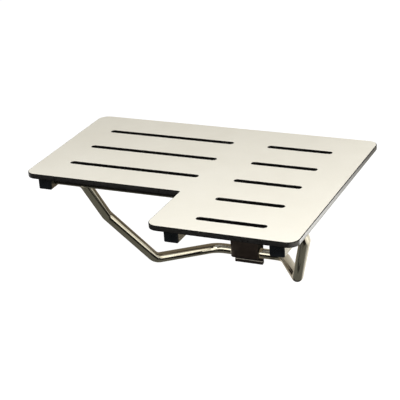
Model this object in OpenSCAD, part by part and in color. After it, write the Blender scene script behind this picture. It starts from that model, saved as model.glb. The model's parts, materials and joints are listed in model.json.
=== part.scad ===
// Fold down wall seat: an L shaped slotted panel on a square tube frame,
// hinged at the wall and propped by a bent round brace whose bar rests in a wall guide.
// The wall is the plane y = 0 and the seat reaches out towards -Y, shown folded down.
// The origin lies on the wall, at the middle of the hinge brackets' bolt pattern.

/* [Seat panel] */
// Overall width of the panel, along the wall
panel_w = 711.2; // [640:0.1:800]
// Depth of the long right hand part
panel_d = 558.8; // [520:0.1:640]
// Depth of the short left hand part
short_d = 383.8; // [376:0.1:400]
// Width of the short left hand part, as far as the notch
short_w = 385.3; // [370:0.1:400]
// Thickness of the panel
panel_t = 12; // [10:0.1:16]
// Radius of the outer corners
corner_r = 25; // [5:1:40]
// Radius inside the notch
notch_r = 4; // [1:1:12]
// Gap between the panel's back edge and the wall
rear_gap = 39.5; // [39:0.5:45]
// Distance from the panel's left edge to the middle of the brace
brace_x = 370; // [365:0.5:375]

/* [Drain slots] */
// Width of each slot
slot_w = 12.7; // [8:0.1:20]
// Distance between neighbouring slots
slot_pitch = 101.7; // [90:0.1:105]
// Distance from the back edge to the first slot
slot_back = 94.2; // [60:0.1:110]
// Left end of the long slots, from the panel's left edge
long_slot_x = 74.1; // [70:0.1:100]
// Length of the long slots
long_slot_l = 315.5; // [200:0.5:320]
// Number of long slots
long_slots = 3; // [1:1:3]
// Left end of the short slots, from the panel's left edge
short_slot_x = 476.2; // [470:0.1:490]
// Length of the short slots
short_slot_l = 152.3; // [100:0.1:155]
// Number of short slots
short_slots = 5; // [1:1:5]

/* [Frame tubes] */
// Outside size of the square frame tubes
tube_s = 32; // [30:0.5:33]
// Wall of the square frame tubes
tube_wall = 2; // [1.2:0.1:3]
// Middle of the left tube, from the panel's left edge
left_tube_x = 39; // [30:0.5:50]
// Middle of the middle tube, from the panel's left edge
mid_tube_x = 433; // [430:0.5:440]
// Middle of the right tube, from the panel's right edge
right_tube_x = 48.2; // [38:0.1:50]
// Distance that the front plugs stay behind the panel's front edges
front_setback = 20; // [10:0.5:30]
// Thickness of a plug's face
plug_face = 3; // [2:0.1:5]
// Length of a plug's stem inside the tube
plug_stem = 14; // [8:0.5:16]

/* [Wall hinge] */
// Distance from the wall to the hinge axis
hinge_reach = 31; // [30:0.1:32]
// Distance from the middle plane to each hinge
hinge_x = 190; // [180:1:200]
// Width of a bracket's base plate
bracket_w = 80; // [76:1:100]
// Height of a bracket's base plate
bracket_h = 70; // [66:1:80]
// Thickness of a bracket's base plate and ears
bracket_t = 5; // [4:0.1:6]
// Height of the base plate's top edge above the hinge axis
bracket_rise = 4; // [3:0.1:5]
// Distance between the two columns of screw holes in one bracket
hole_dx = 60; // [58:1:62]
// Distance between the two rows of screw holes
hole_dz = 46; // [40:1:50]
// Diameter of the wall screw holes
hole_d = 9; // [6:0.5:10]
// Diameter of the hinge bolts
hinge_bolt_d = 10; // [8:0.5:10]
// Radius of the round end of a bracket's ear
ear_r = 12; // [10:0.5:12.5]
// Gap between an ear's round end and the rear cross tube
ear_gap = 1.5; // [1:0.1:3]
// Wall of the bush inside each lug
lug_bush_wall = 2; // [1.5:0.1:2.5]
// Thickness of a hinge washer
washer_t = 1.5; // [1:0.1:2]
// Width of a hinge washer's ring
washer_ring = 5.5; // [4:0.1:6]

/* [Brace] */
// Outside diameter of the round brace tube and of the cross tube
brace_d = 25.4; // [22:0.1:27]
// Wall of the round tubes
brace_wall = 1.6; // [1.2:0.1:2]
// Radius of the brace's bends, at the middle of the tube
bend_r = 38; // [30:1:44]
// Gap between the left front plug's stem and the axle rod
axle_gap = 6.8; // [4:0.1:10]
// Diameter of the axle rod
axle_d = 12; // [10:0.5:14]
// Distance from the middle plane to each arm at the axle
arm_x = 248; // [246:0.5:252]
// Distance from the middle plane to each upper bend
upper_x = 245; // [240:0.5:249]
// Distance from the wall to the upper bends, as a share of the axle's distance
upper_share = 0.7711; // [0.76:0.0001:0.78]
// Height of the axle above the upper bends
upper_drop = 119; // [115:0.5:123]
// Distance from the middle plane to each lower bend
lower_x = 183; // [178:0.5:188]
// Distance from the wall to the lower bends, as a share of the axle's distance
lower_share = 0.4766; // [0.466:0.0001:0.487]
// Height of the axle above the lower bends
lower_drop = 275; // [271:0.5:279]
// Distance from the middle plane to each end of the bar at the wall
bar_x = 90; // [88:0.5:94]
// Height of the axle above the bar at the wall
bar_drop = 307; // [303:0.5:311]
// Thickness of the flange of each bush on the axle
bush_flange_t = 1.5; // [1:0.1:2]
// Length of each bush inside its sleeve
bush_l = 15; // [10:0.5:20]

/* [Wall guide] */
// Thickness of the wall track plate
track_t = 3; // [2:0.1:4]
// Width of the track plate and its stop
track_w = 74.5; // [70:0.5:80]
// Shift of the guide from the middle plane, to the left
guide_shift = 9.5; // [6:0.5:12]
// Distance between the two columns of screw holes in the track plate
track_hole_dx = 50; // [40:1:56]
// Distance between the two rows of screw holes in the track plate
track_hole_dz = 250; // [200:1:260]
// Diameter of the track plate's screw holes
track_hole_d = 6.5; // [5:0.5:8]
// Height from each row of screw holes to the plate's end
track_margin = 18; // [12:0.5:24]
// Height of the stop at the foot of the track
stop_h = 9.5; // [6:0.5:12]
// Depth of the stop, out from the track plate
stop_d = 7.5; // [6:0.5:12]
// Thickness of the guide shoe's plate
shoe_t = 2.5; // [2:0.1:3]
// Width of the guide shoe
shoe_w = 71; // [60:0.5:74]
// Height of the shoe's front plate below the middle of the bar
shoe_front = 11; // [6:0.5:14]
// Height of the shoe's back leg below the middle of the bar
shoe_back = 28; // [20:0.5:32]
// Height of the shoe's round top above the middle of the bar
shoe_rise = 45; // [42:0.5:60]
// Least wall of the liner round the bar
liner_wall = 1.5; // [1.2:0.1:2]
// Diameter of the shoe's rivets
rivet_d = 5; // [4:0.5:6]

/* [Screws] */
// Diameter of the panel screws
screw_d = 6; // [4:0.5:6.5]
// Diameter of the threaded inserts in the panel
insert_d = 9; // [8:0.5:10]
// Length of the threaded inserts
insert_l = 8; // [5:0.5:8.5]
// Distance from the panel's back edge to the rear screws
screw_rear = 75; // [60:1:90]
// Distance from the axle back to the middle screws
screw_axle_gap = 49; // [30:1:70]
// Distance from the front plugs' stems back to the front screws
screw_plug_gap = 26.8; // [10:0.1:60]

/* [Hidden] */
$fn = 64;

// Clearances between pieces
run_clear = 0.05;
fit_clear = 0.1;
side_play = 0.3;
cope_clear = 0.15;
shoe_play = 0.4;
// How far each straight run of the brace reaches into its bends, and how much fuller the bends are
run_in = 1;
bend_grow = 0.05;
// Overrun of every cut beyond the faces it leaves through
over = 1;

// Colours
ivory = "#f4efdc";
steel = "#b9b7ae";
dark_steel = "#55534d";
bronze = "#2c2421";
plug_black = "#12161c";
nylon = "#3a3a3c";
brass = "#b59a52";

// Heights: the hinge axis and the axle lie in the middle of the frame tubes
hinge_z = bracket_h/2 - bracket_rise;
frame_top = hinge_z + tube_s/2;

// The panel's edges and the tubes' middles across the width
panel_left = -brace_x;
panel_right = panel_left + panel_w;
left_x = panel_left + left_tube_x;
mid_x = panel_left + mid_tube_x;
right_x = panel_right - right_tube_x;

// Depths, measured out from the wall towards -Y
panel_back = -rear_gap;
short_front = panel_back - short_d;
long_front = panel_back - panel_d;
lug_reach = ear_r + ear_gap;
cross_back = -hinge_reach - lug_reach;
cross_front = cross_back - tube_s;
axle_reach = -short_front - front_setback - plug_face - plug_stem - axle_gap - axle_d/2;
upper_reach = axle_reach*upper_share;
lower_reach = axle_reach*lower_share;
screw_mid = axle_reach - rear_gap - screw_axle_gap;
screw_front = panel_d - front_setback - plug_face - plug_stem - screw_plug_gap;
short_screws = [screw_rear, screw_mid];
long_screws = [screw_rear, screw_mid, screw_front];

// Hinge stack, from the middle of a lug outwards
washer_r = hinge_bolt_d/2 + washer_ring;
ear_inner = tube_s/2 + washer_t + side_play;
ear_outer = ear_inner + bracket_t;
lug_bore_r = hinge_bolt_d/2 + lug_bush_wall;
bolt_head_af = hinge_bolt_d*1.6;
bolt_head_t = hinge_bolt_d*0.64;
nut_t = hinge_bolt_d*0.8;

// Axle stack
sleeve_r = brace_d/2;
sleeve_bore_r = sleeve_r - brace_wall;
axle_nut_af = axle_d*1.5;
axle_nut_t = axle_d*0.8;
axle_left = left_x - tube_s/2;
axle_right = right_x + tube_s/2;

// Guide, worked out from the wall: plate, play, shoe's back leg, liner, bar
shoe_gap = brace_d + 2*run_clear + 2*liner_wall;
bar_reach = track_t + shoe_play + shoe_t + shoe_gap/2;
bar_z = hinge_z - bar_drop;
stop_top = bar_z - shoe_back - side_play;
track_bottom = stop_top - stop_h;
track_top = track_bottom + track_hole_dz + 2*track_margin;
track_corner_r = track_t;
liner_w = shoe_w - shoe_t;
liner_low = shoe_gap/2;
liner_high = shoe_rise - shoe_gap/2 - shoe_t - shoe_t;
rivet_l = shoe_t + rivet_d;
rivet_dx = shoe_w*0.6;
rivet_z = (sleeve_r + liner_high)/2;

// The brace's corner points, from the left arm's top round to the right arm's top
arm_top = [arm_x, -axle_reach, hinge_z];
upper = [upper_x, -upper_reach, hinge_z - upper_drop];
lower = [lower_x, -lower_reach, hinge_z - lower_drop];
bar_end = [bar_x, -bar_reach, bar_z];
left_half = [for (p = [arm_top, upper, lower, bar_end]) [-p.x, p.y, p.z]];
right_half = [bar_end, lower, upper, arm_top];
brace_path = concat(left_half, right_half);

function unit(v) = v/norm(v);

// Half of the angle by which the path turns at point i
function half_turn(i) =
    acos(unit(brace_path[i] - brace_path[i - 1])*unit(brace_path[i + 1] - brace_path[i]))/2;

// Length of straight path that the bend at point i uses on each side
function tangent(i) = bend_r*tan(half_turn(i));

// Solid rod of radius r from point a to point b
module rod(a, b, r) {
    d = b - a;
    translate(a)
        rotate([0, acos(d.z/norm(d)), atan2(d.y, d.x)])
            cylinder(r = r, h = norm(d));
}

// Solid bend for a run of radius r, round corner point i of the brace's path
module bend(i, r) {
    back = unit(brace_path[i - 1] - brace_path[i]);
    ahead = unit(brace_path[i + 1] - brace_path[i]);
    centre = brace_path[i] + unit(back + ahead)*bend_r/cos(half_turn(i));
    ex = unit(brace_path[i] + back*tangent(i) - centre);
    ez = unit(cross(ex, brace_path[i] + ahead*tangent(i) - centre));
    ey = cross(ez, ex);
    multmatrix([[ex.x, ey.x, ez.x, centre.x],
                [ex.y, ey.y, ez.y, centre.y],
                [ex.z, ey.z, ez.z, centre.z],
                [0, 0, 0, 1]])
        rotate_extrude(angle = 2*half_turn(i))
            translate([bend_r, 0])
                circle(r = r + bend_grow);
}

// The whole bent path as a solid of radius r
module bent_rod(r) {
    last = len(brace_path) - 1;
    for (i = [0:last - 1]) {
        d = unit(brace_path[i + 1] - brace_path[i]);
        start = (i == 0) ? 0 : tangent(i) - run_in;
        end = (i == last - 1) ? 0 : tangent(i + 1) - run_in;
        rod(brace_path[i] + d*start, brace_path[i + 1] - d*end, r);
    }
    for (i = [1:last - 1])
        bend(i, r);
}

// Cylinder along X from x0 to x1, round the line at y and z
module bar_x_way(x0, x1, y, z, r) {
    translate([x0, y, z])
        rotate([0, 90, 0])
            cylinder(r = r, h = x1 - x0);
}

// Hexagon prism along X from x0 to x1, af across its flats
module hex_x_way(x0, x1, y, z, af) {
    translate([x0, y, z])
        rotate([0, 90, 0])
            cylinder(r = af/2/cos(30), h = x1 - x0, $fn = 6);
}

// Flat rectangle with round corners, x0 to x1 and y0 to y1
module round_rect(x0, x1, y0, y1, r) {
    translate([x0 + r, y0])
        square([x1 - x0 - 2*r, y1 - y0]);
    translate([x0, y0 + r])
        square([x1 - x0, y1 - y0 - 2*r]);
    for (x = [x0 + r, x1 - r])
        for (y = [y0 + r, y1 - r])
            translate([x, y])
                circle(r = r);
}

// L shaped outline of the panel
module panel_outline() {
    notch_x = panel_left + short_w;
    round_rect(panel_left, panel_right, short_front, panel_back, corner_r);
    round_rect(notch_x, panel_right, long_front, panel_back, corner_r);
    difference() {
        translate([notch_x - notch_r, short_front - notch_r])
            square(notch_r);
        translate([notch_x - notch_r, short_front - notch_r])
            circle(r = notch_r);
    }
}

// A row of drain slots, the first at the back
module slot_row(x, l, count) {
    for (i = [0:count - 1])
        translate([panel_left + x, panel_back - slot_back - i*slot_pitch])
            round_rect(0, l, -slot_w/2, slot_w/2, slot_w/2);
}

// Calls its children at each panel screw's place
module at_screws() {
    for (d = short_screws)
        translate([left_x, panel_back - d, 0])
            children();
    for (x = [mid_x, right_x])
        for (d = long_screws)
            translate([x, panel_back - d, 0])
                children();
}

// Square frame tube along Y, from the rear cross tube to y = front
module frame_tube(x, front) {
    inner = tube_s - 2*tube_wall;
    difference() {
        translate([x - tube_s/2, front, hinge_z - tube_s/2])
            cube([tube_s, cross_front - front, tube_s]);
        translate([x - inner/2, front - over, hinge_z - inner/2])
            cube([inner, cross_front - front + 2*over, inner]);
        bar_x_way(x - tube_s/2 - over, x + tube_s/2 + over, -axle_reach, hinge_z,
            axle_d/2 + fit_clear);
        at_screws()
            translate([0, 0, hinge_z - tube_s/2 - over])
                cylinder(r = screw_d/2 + fit_clear, h = tube_s + 2*over);
    }
}

// Tube plug: a face with chamfered front edges and a stem, pointing along -Y
module plug() {
    chamfer = plug_face/3;
    stem = tube_s - 2*tube_wall - 2*fit_clear;
    half = tube_s/2;
    profile = [[-half, 0], [-half, chamfer - plug_face], [chamfer - half, -plug_face],
        [half - chamfer, -plug_face], [half, chamfer - plug_face], [half, 0]];
    intersection() {
        translate([0, 0, -half])
            linear_extrude(tube_s)
                polygon(profile);
        rotate([0, 90, 0])
            translate([0, 0, -half])
                linear_extrude(tube_s)
                    polygon(profile);
    }
    translate([-stem/2, 0, -stem/2])
        cube([stem, plug_stem, stem]);
}

module seat_panel() {
    color(ivory)
        difference() {
            translate([0, 0, frame_top])
                linear_extrude(panel_t)
                    difference() {
                        panel_outline();
                        slot_row(long_slot_x, long_slot_l, long_slots);
                        slot_row(short_slot_x, short_slot_l, short_slots);
                    }
            at_screws()
                translate([0, 0, frame_top - over])
                    cylinder(r = insert_d/2 + fit_clear, h = insert_l + fit_clear + over);
        }
}

module frame_tube_left() {
    color(steel)
        frame_tube(left_x, short_front + front_setback + plug_face);
}

module frame_tube_middle() {
    color(steel)
        frame_tube(mid_x, long_front + front_setback + plug_face);
}

module frame_tube_right() {
    color(steel)
        frame_tube(right_x, long_front + front_setback + plug_face);
}

module rear_cross_tube() {
    inner = tube_s - 2*tube_wall;
    length = axle_right - axle_left - 2*plug_face;
    color(steel)
        difference() {
            translate([axle_left + plug_face, cross_front, hinge_z - tube_s/2])
                cube([length, tube_s, tube_s]);
            translate([axle_left + plug_face - over, cross_front + tube_wall, hinge_z - inner/2])
                cube([length + 2*over, inner, inner]);
        }
}

module plug_front_left() {
    color(plug_black)
        translate([left_x, short_front + front_setback + plug_face, hinge_z])
            plug();
}

module plug_front_middle() {
    color(plug_black)
        translate([mid_x, long_front + front_setback + plug_face, hinge_z])
            plug();
}

module plug_front_right() {
    color(plug_black)
        translate([right_x, long_front + front_setback + plug_face, hinge_z])
            plug();
}

module plug_rear_left() {
    color(plug_black)
        translate([axle_left + plug_face, cross_front + tube_s/2, hinge_z])
            rotate([0, 0, -90])
                plug();
}

module plug_rear_right() {
    color(plug_black)
        translate([axle_right - plug_face, cross_front + tube_s/2, hinge_z])
            rotate([0, 0, 90])
                plug();
}

// Lug of the hinge: a bored boss and its web back to the rear cross tube
module hinge_lug(x) {
    web = lug_bore_r + tube_wall;
    difference() {
        union() {
            bar_x_way(x - tube_s/2, x + tube_s/2, -hinge_reach, hinge_z, ear_r);
            translate([x - tube_s/2, cross_back, hinge_z - web])
                cube([tube_s, lug_reach, 2*web]);
        }
        bar_x_way(x - tube_s/2 - over, x + tube_s/2 + over, -hinge_reach, hinge_z, lug_bore_r);
    }
}

module hinge_lug_left() {
    color(steel)
        hinge_lug(-hinge_x);
}

module hinge_lug_right() {
    color(steel)
        hinge_lug(hinge_x);
}

// Bush inside a lug, which turns on the hinge bolt
module pivot_bush(x) {
    difference() {
        bar_x_way(x - tube_s/2, x + tube_s/2, -hinge_reach, hinge_z, lug_bore_r - run_clear);
        bar_x_way(x - tube_s/2 - over, x + tube_s/2 + over, -hinge_reach, hinge_z,
            hinge_bolt_d/2 + run_clear);
    }
}

module pivot_bush_left() {
    color(nylon)
        pivot_bush(-hinge_x);
}

module pivot_bush_right() {
    color(nylon)
        pivot_bush(hinge_x);
}

// Round headed screws, up through the frame tubes into the inserts
module panel_screws() {
    head_r = screw_d;
    head_t = screw_d*0.45;
    color(dark_steel)
        at_screws()
            translate([0, 0, hinge_z - tube_s/2]) {
                translate([0, 0, -head_t])
                    cylinder(r = head_r, h = head_t);
                cylinder(r = screw_d/2, h = tube_s + insert_l - fit_clear);
            }
}

module panel_inserts() {
    color(brass)
        at_screws()
            translate([0, 0, frame_top])
                difference() {
                    cylinder(r = insert_d/2, h = insert_l);
                    translate([0, 0, -over])
                        cylinder(r = screw_d/2 + run_clear, h = insert_l + 2*over);
                }
}

module axle_rod() {
    color(steel)
        bar_x_way(axle_left - axle_nut_t - fit_clear, axle_right + axle_nut_t + fit_clear,
            -axle_reach, hinge_z, axle_d/2);
}

// Nuts on the two ends of the axle rod
module axle_nuts() {
    color(dark_steel)
        for (x = [axle_left - axle_nut_t, axle_right])
            difference() {
                hex_x_way(x, x + axle_nut_t, -axle_reach, hinge_z, axle_nut_af);
                bar_x_way(x - over, x + axle_nut_t + over, -axle_reach, hinge_z,
                    axle_d/2 + run_clear);
            }
}

// Wall bracket: base plate with four holes, and two ears for the hinge bolt
module wall_bracket(x) {
    top = hinge_z + bracket_rise;
    low = top - bracket_h + bracket_t;
    difference() {
        union() {
            translate([x, 0, top - bracket_h/2])
                rotate([90, 0, 0])
                    linear_extrude(bracket_t)
                        round_rect(-bracket_w/2, bracket_w/2, -bracket_h/2, bracket_h/2, bracket_t);
            for (side = [ear_inner, -ear_outer])
                translate([x + side, 0, 0])
                    ear(top, low);
        }
        for (dx = [-hole_dx/2, hole_dx/2])
            for (dz = [-hole_dz/2, hole_dz/2])
                translate([x + dx, over, top - bracket_h/2 + dz])
                    rotate([90, 0, 0])
                        cylinder(r = hole_d/2, h = bracket_t + 2*over);
        bar_x_way(x - ear_outer - over, x + ear_outer + over, -hinge_reach, hinge_z,
            hinge_bolt_d/2 + fit_clear);
    }
}

// One ear: a flat plate from the base plate out to a round end at the hinge axis
module ear(top, low) {
    tilt = 45;
    foot = [-hinge_reach - ear_r*sin(tilt), hinge_z - ear_r*cos(tilt)];
    rotate([90, 0, 90])
        linear_extrude(bracket_t) {
            polygon([[-bracket_t/2, top], [-hinge_reach, top], [-hinge_reach, hinge_z],
                foot, [-bracket_t, low], [-bracket_t/2, low]]);
            translate([-hinge_reach, hinge_z])
                circle(r = ear_r);
        }
}

module wall_bracket_left() {
    color(steel)
        wall_bracket(-hinge_x);
}

module wall_bracket_right() {
    color(steel)
        wall_bracket(hinge_x);
}

// Hinge bolt with its head towards the middle of the seat on the side named
module hinge_bolt(x) {
    bar_x_way(x - ear_outer, x + ear_outer + nut_t + fit_clear, -hinge_reach, hinge_z,
        hinge_bolt_d/2);
    hex_x_way(x - ear_outer - bolt_head_t, x - ear_outer, -hinge_reach, hinge_z, bolt_head_af);
}

module hinge_nut(x) {
    difference() {
        hex_x_way(x + ear_outer, x + ear_outer + nut_t, -hinge_reach, hinge_z, bolt_head_af);
        bar_x_way(x + ear_outer - over, x + ear_outer + nut_t + over, -hinge_reach, hinge_z,
            hinge_bolt_d/2 + run_clear);
    }
}

// Washers between the ears and the lug, one on each side
module hinge_washers(x) {
    for (side = [tube_s/2 + side_play, -ear_inner])
        difference() {
            bar_x_way(x + side, x + side + washer_t, -hinge_reach, hinge_z, washer_r);
            bar_x_way(x + side - over, x + side + washer_t + over, -hinge_reach, hinge_z,
                hinge_bolt_d/2 + fit_clear);
        }
}

module hinge_bolt_left() {
    color(dark_steel)
        hinge_bolt(-hinge_x);
}

module hinge_bolt_right() {
    color(dark_steel)
        hinge_bolt(hinge_x);
}

module hinge_nut_left() {
    color(dark_steel)
        hinge_nut(-hinge_x);
}

module hinge_nut_right() {
    color(dark_steel)
        hinge_nut(hinge_x);
}

module hinge_washers_left() {
    color(nylon)
        hinge_washers(-hinge_x);
}

module hinge_washers_right() {
    color(nylon)
        hinge_washers(hinge_x);
}

// Flat plate on the wall that the guide shoe runs on, with countersunk screw holes
module track_plate() {
    middle = track_bottom + (track_top - track_bottom)/2;
    sink = track_t/2;
    color(bronze)
        difference() {
            translate([-guide_shift, 0, 0])
                rotate([90, 0, 0])
                    linear_extrude(track_t)
                        round_rect(-track_w/2, track_w/2, track_bottom, track_top, track_corner_r);
            for (dx = [-track_hole_dx/2, track_hole_dx/2])
                for (dz = [-track_hole_dz/2, track_hole_dz/2])
                    translate([dx - guide_shift, 0, middle + dz])
                        rotate([90, 0, 0]) {
                            translate([0, 0, -over])
                                cylinder(r = track_hole_d/2, h = track_t + 2*over);
                            translate([0, 0, track_t - sink])
                                cylinder(r1 = track_hole_d/2, r2 = track_hole_d/2 + sink + over,
                                    h = sink + over);
                        }
        }
}

// Stop welded across the foot of the track plate
module track_stop() {
    color(bronze)
        translate([-guide_shift - track_w/2, -track_t - stop_d, track_bottom])
            cube([track_w, stop_d, stop_h]);
}

// Bent brace tube, its two ends coped to the cross sleeves
module brace_tube() {
    color(steel)
        difference() {
            bent_rod(brace_d/2);
            bent_rod(brace_d/2 - brace_wall);
            for (x = [-arm_x, arm_x])
                bar_x_way(x - brace_d, x + brace_d, -axle_reach, hinge_z, sleeve_r + cope_clear);
        }
}

// Round tube on the axle between two frame tubes, whose middles are at x0 and x1
module cross_sleeve(x0, x1) {
    inset = tube_s/2 + side_play + bush_flange_t;
    difference() {
        bar_x_way(x0 + inset, x1 - inset, -axle_reach, hinge_z, sleeve_r);
        bar_x_way(x0 + inset - over, x1 - inset + over, -axle_reach, hinge_z, sleeve_bore_r);
    }
}

module cross_sleeve_left() {
    color(steel)
        cross_sleeve(left_x, mid_x);
}

module cross_sleeve_right() {
    color(steel)
        cross_sleeve(mid_x, right_x);
}

// Flanged bush beside the frame tube at x, reaching into the sleeve on its side = 1 or -1
module sleeve_bush(x, side) {
    face = tube_s/2 + side_play;
    translate([x, -axle_reach, hinge_z])
        rotate([0, side*90, 0])
            difference() {
                union() {
                    translate([0, 0, face])
                        cylinder(r = sleeve_r, h = bush_flange_t);
                    translate([0, 0, face])
                        cylinder(r = sleeve_bore_r - run_clear, h = bush_flange_t + bush_l);
                }
                translate([0, 0, face - over])
                    cylinder(r = axle_d/2 + run_clear, h = bush_flange_t + bush_l + 2*over);
            }
}

module sleeve_bush_left_outer() {
    color(nylon)
        sleeve_bush(left_x, 1);
}

module sleeve_bush_left_inner() {
    color(nylon)
        sleeve_bush(mid_x, -1);
}

module sleeve_bush_right_inner() {
    color(nylon)
        sleeve_bush(mid_x, 1);
}

module sleeve_bush_right_outer() {
    color(nylon)
        sleeve_bush(right_x, -1);
}

// Side profile of the shoe, as y out from the bar's middle and z above it
module shoe_profile(r, front, back) {
    crown = shoe_rise - shoe_gap/2 - shoe_t;
    translate([0, crown])
        circle(r = r);
    translate([-r, -front])
        square([r, crown + front]);
    translate([0, -back])
        square([r, crown + back]);
}

// Plate bent over the bar: front plate, round top and longer back leg
module guide_shoe() {
    lift = shoe_rise + shoe_back;
    color(bronze)
        translate([-guide_shift - shoe_w/2, -bar_reach, bar_z])
            rotate([90, 0, 90])
                difference() {
                    linear_extrude(shoe_w)
                        shoe_profile(shoe_gap/2 + shoe_t, shoe_front, shoe_back);
                    translate([0, 0, -over])
                        linear_extrude(shoe_w + 2*over)
                            shoe_profile(shoe_gap/2, lift, lift);
                    rivets(fit_clear);
                }
}

// Liner block inside the shoe, bored for the bar
module shoe_liner() {
    depth = shoe_gap - 2*fit_clear;
    color(nylon)
        translate([-guide_shift - liner_w/2, -bar_reach, bar_z])
            difference() {
                translate([0, -depth/2, -liner_low])
                    cube([liner_w, depth, liner_low + liner_high]);
                bar_x_way(-over, liner_w + over, 0, 0, brace_d/2 + run_clear);
                translate([(liner_w - shoe_w)/2, 0, 0])
                    rotate([90, 0, 90])
                        rivets(fit_clear);
            }
}

// The rivets' shanks in the shoe's own profile frame, with a named clearance all round
module rivets(clear) {
    face = shoe_gap/2 + shoe_t;
    for (dx = [-rivet_dx/2, rivet_dx/2])
        translate([face + clear, rivet_z, shoe_w/2 + dx])
            rotate([0, -90, 0])
                cylinder(r = rivet_d/2 + clear, h = rivet_l + 2*clear);
}

// Flush rivets from the back leg into the liner
module shoe_rivets() {
    color(steel)
        translate([-guide_shift - shoe_w/2, -bar_reach, bar_z])
            rotate([90, 0, 90])
                rivets(0);
}

seat_panel();
frame_tube_left();
frame_tube_middle();
frame_tube_right();
rear_cross_tube();
plug_front_left();
plug_front_middle();
plug_front_right();
plug_rear_left();
plug_rear_right();
hinge_lug_left();
hinge_lug_right();
pivot_bush_left();
pivot_bush_right();
panel_screws();
panel_inserts();
axle_rod();
axle_nuts();
wall_bracket_left();
wall_bracket_right();
hinge_bolt_left();
hinge_bolt_right();
hinge_nut_left();
hinge_nut_right();
hinge_washers_left();
hinge_washers_right();
track_plate();
track_stop();
brace_tube();
cross_sleeve_left();
cross_sleeve_right();
sleeve_bush_left_outer();
sleeve_bush_left_inner();
sleeve_bush_right_inner();
sleeve_bush_right_outer();
guide_shoe();
shoe_liner();
shoe_rivets();
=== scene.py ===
"""Looks of a fold down wall seat, dressed over its fixed CAD frame.

An L shaped board with ivory faces and a black core lies on three square tubes, which
fold up on two wall hinges. A bent round brace of brushed steel hangs from an axle under
the board, and its bar rides in a dark guide shoe on a wall track.
"""

from __future__ import annotations

import json
import logging
import math
from collections.abc import Iterable, Sequence
from dataclasses import dataclass
from enum import Enum

import bmesh
import bpy
from mathutils import Matrix, Vector

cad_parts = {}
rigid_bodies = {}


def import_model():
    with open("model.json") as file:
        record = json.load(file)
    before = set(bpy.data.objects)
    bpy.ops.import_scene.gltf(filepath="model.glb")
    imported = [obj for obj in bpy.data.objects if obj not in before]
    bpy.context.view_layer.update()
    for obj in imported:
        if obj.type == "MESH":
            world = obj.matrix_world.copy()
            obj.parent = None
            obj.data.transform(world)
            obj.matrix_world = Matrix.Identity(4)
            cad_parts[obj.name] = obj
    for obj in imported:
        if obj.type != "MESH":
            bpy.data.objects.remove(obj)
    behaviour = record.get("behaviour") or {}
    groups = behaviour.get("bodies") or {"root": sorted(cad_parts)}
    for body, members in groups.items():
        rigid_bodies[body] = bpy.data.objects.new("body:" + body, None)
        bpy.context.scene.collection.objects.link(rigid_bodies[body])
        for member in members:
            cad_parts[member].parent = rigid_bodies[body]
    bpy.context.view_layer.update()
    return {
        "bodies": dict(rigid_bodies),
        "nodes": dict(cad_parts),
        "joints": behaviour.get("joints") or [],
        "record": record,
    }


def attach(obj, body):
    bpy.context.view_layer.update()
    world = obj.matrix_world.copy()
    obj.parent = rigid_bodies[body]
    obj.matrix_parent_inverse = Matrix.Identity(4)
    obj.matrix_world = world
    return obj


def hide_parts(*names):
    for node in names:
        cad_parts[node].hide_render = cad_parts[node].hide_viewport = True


LOG = logging.getLogger("wall_seat")

# Metres in a millimetre, and the distance within which two points are one
MM = 0.001
TOUCH = 1e-6
# Part of a noise texture's range that its values mostly fill
NOISE_LOW, NOISE_HIGH = 0.3, 0.7
# Degrees: what counts as a corner, and how a nut's ends slope down to its corners
CORNER_ANGLE = 60.0
NUT_SLOPE = 30.0
# Faces round a rod, across a square tube's edge, and cuts in each side of a hexagon
ROUND_SIDES = 48
TUBE_EDGE_FACES = 5
HEXAGON_CUTS = 7

Point = tuple[float, float, float]
Colour = tuple[float, float, float]
Edge = bmesh.types.BMEdge
Vert = bmesh.types.BMVert
Material = bpy.types.Material
Node = bpy.types.Node
Socket = bpy.types.NodeSocket
Tree = bpy.types.NodeTree

WHITE: Colour = (1.0, 1.0, 1.0)


class Body(Enum):
    """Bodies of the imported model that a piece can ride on."""

    WALL = "wall_mount"
    SEAT = "seat"
    BRACE = "brace"
    SHOE = "shoe"


class Slot(Enum):
    """Material slots of the record, passed along with each piece but not used to give
    it a finish.
    """

    BOARD = "ivory_board"
    STEEL = "satin_steel"
    PLUG = "plug_black"
    ZINC = "zinc_fastener"
    NYLON = "nylon"
    GUIDE = "dark_guide"


class Axis(Enum):
    """Axes of the frame, each with its index among the coordinates."""

    X = 0
    Y = 1
    Z = 2


class Rounded(Enum):
    """What a rounding starts from, as the bevel operator calls it."""

    EDGES = "EDGES"
    CORNERS = "VERTICES"


class Grain(Enum):
    """Way that a pattern runs, as factors on its coordinates."""

    ALONG_X = (0.02, 1.0, 1.0)
    ALONG_Y = (1.0, 0.02, 1.0)
    ALONG_Z = (1.0, 1.0, 0.02)
    LEVEL = (0.02, 0.02, 1.0)
    EVEN = (1.0, 1.0, 1.0)


BRUSHED = (Grain.ALONG_X, Grain.ALONG_Y, Grain.ALONG_Z)


@dataclass(frozen=True)
class Pattern:
    """Noise: the size of its features in metres, its finer layers and its grain."""

    size: float
    layers: float = 3.0
    grain: Grain = Grain.EVEN


Bumps = tuple[tuple[Pattern | None, float], ...]


def turned(degrees: float, axis: Axis) -> Matrix:
    """Returns a turn about one of the frame's axes."""
    return Matrix.Rotation(math.radians(degrees), 4, axis.name)


def put_in_scene(name: str, data: bpy.types.ID) -> bpy.types.Object:
    """Makes an object and links it to the scene.

    Args:
        name: Name of the object.
        data: Its mesh, lamp or camera.

    Returns:
        The object.
    """
    made = bpy.data.objects.new(name, data)
    bpy.context.scene.collection.objects.link(made)
    return made


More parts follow.
